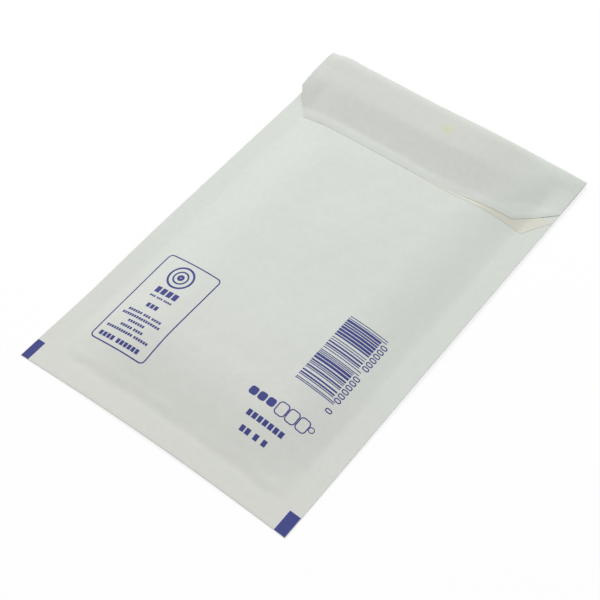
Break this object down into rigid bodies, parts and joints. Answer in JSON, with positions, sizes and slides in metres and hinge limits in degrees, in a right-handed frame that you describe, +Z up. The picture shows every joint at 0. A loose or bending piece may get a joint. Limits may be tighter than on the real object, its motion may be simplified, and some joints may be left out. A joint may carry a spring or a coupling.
{
  "type": "padded envelope",
  "caption": "White paper mailer lined with bubble film, lying face up with its flap folded loosely over the front.",
  "frame": {"origin": "middle of the footprint, on the surface that the mailer lies on", "axes": "+Z up, out of the printed front; +Y along the length, from the bottom fold to the flap; +X across, to the right as the front is read"},
  "size_m": [0.14, 0.222, 0.0092],
  "materials": {
    "white_paper": "matte, slightly grey white, with faint show-through of the bubbles",
    "clear_film": "clear polyethylene, glossy",
    "hot_melt": "tacky, pale amber",
    "cream_liner": "siliconed, satin cream",
    "print_ink": "matte blue ink, printed on the paper"
  },
  "bodies": {
    "root": {"outer_paper": "white_paper", "bubble_lining": "clear_film", "adhesive_strip": "hot_melt", "release_liner": "cream_liner"}
  },
  "joints": []
}
